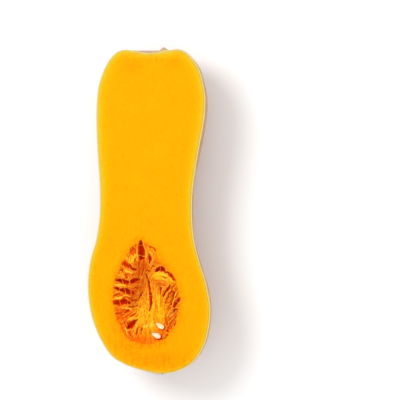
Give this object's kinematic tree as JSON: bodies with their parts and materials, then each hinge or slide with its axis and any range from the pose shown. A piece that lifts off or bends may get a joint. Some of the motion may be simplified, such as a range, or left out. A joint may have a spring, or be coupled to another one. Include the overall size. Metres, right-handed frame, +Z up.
{
  "type": "butternut squash half",
  "caption": "Butternut squash halved lengthways and lying on its skin: a level cut face, a straight neck, a round bulb, and a seed cavity filled with stringy pulp and flat seeds.",
  "frame": {"origin": "middle of the bounding box's bottom face, on the surface that the half lies on", "axes": "+Z up, square to the cut face and out of it; +Y along the squash, from the blossom end to the stem end; +X across the cut face"},
  "size_m": [0.096, 0.251, 0.0492],
  "materials": {
    "flesh": "satin",
    "skin": "satin",
    "pulp": "satin",
    "seed": "satin"
  },
  "bodies": {
    "root": {"squash_half": "flesh", "seed_pulp": "pulp", "seed_1": "seed", "seed_2": "seed", "seed_3": "seed", "seed_4": "seed", "seed_5": "seed", "seed_6": "seed"}
  },
  "joints": []
}
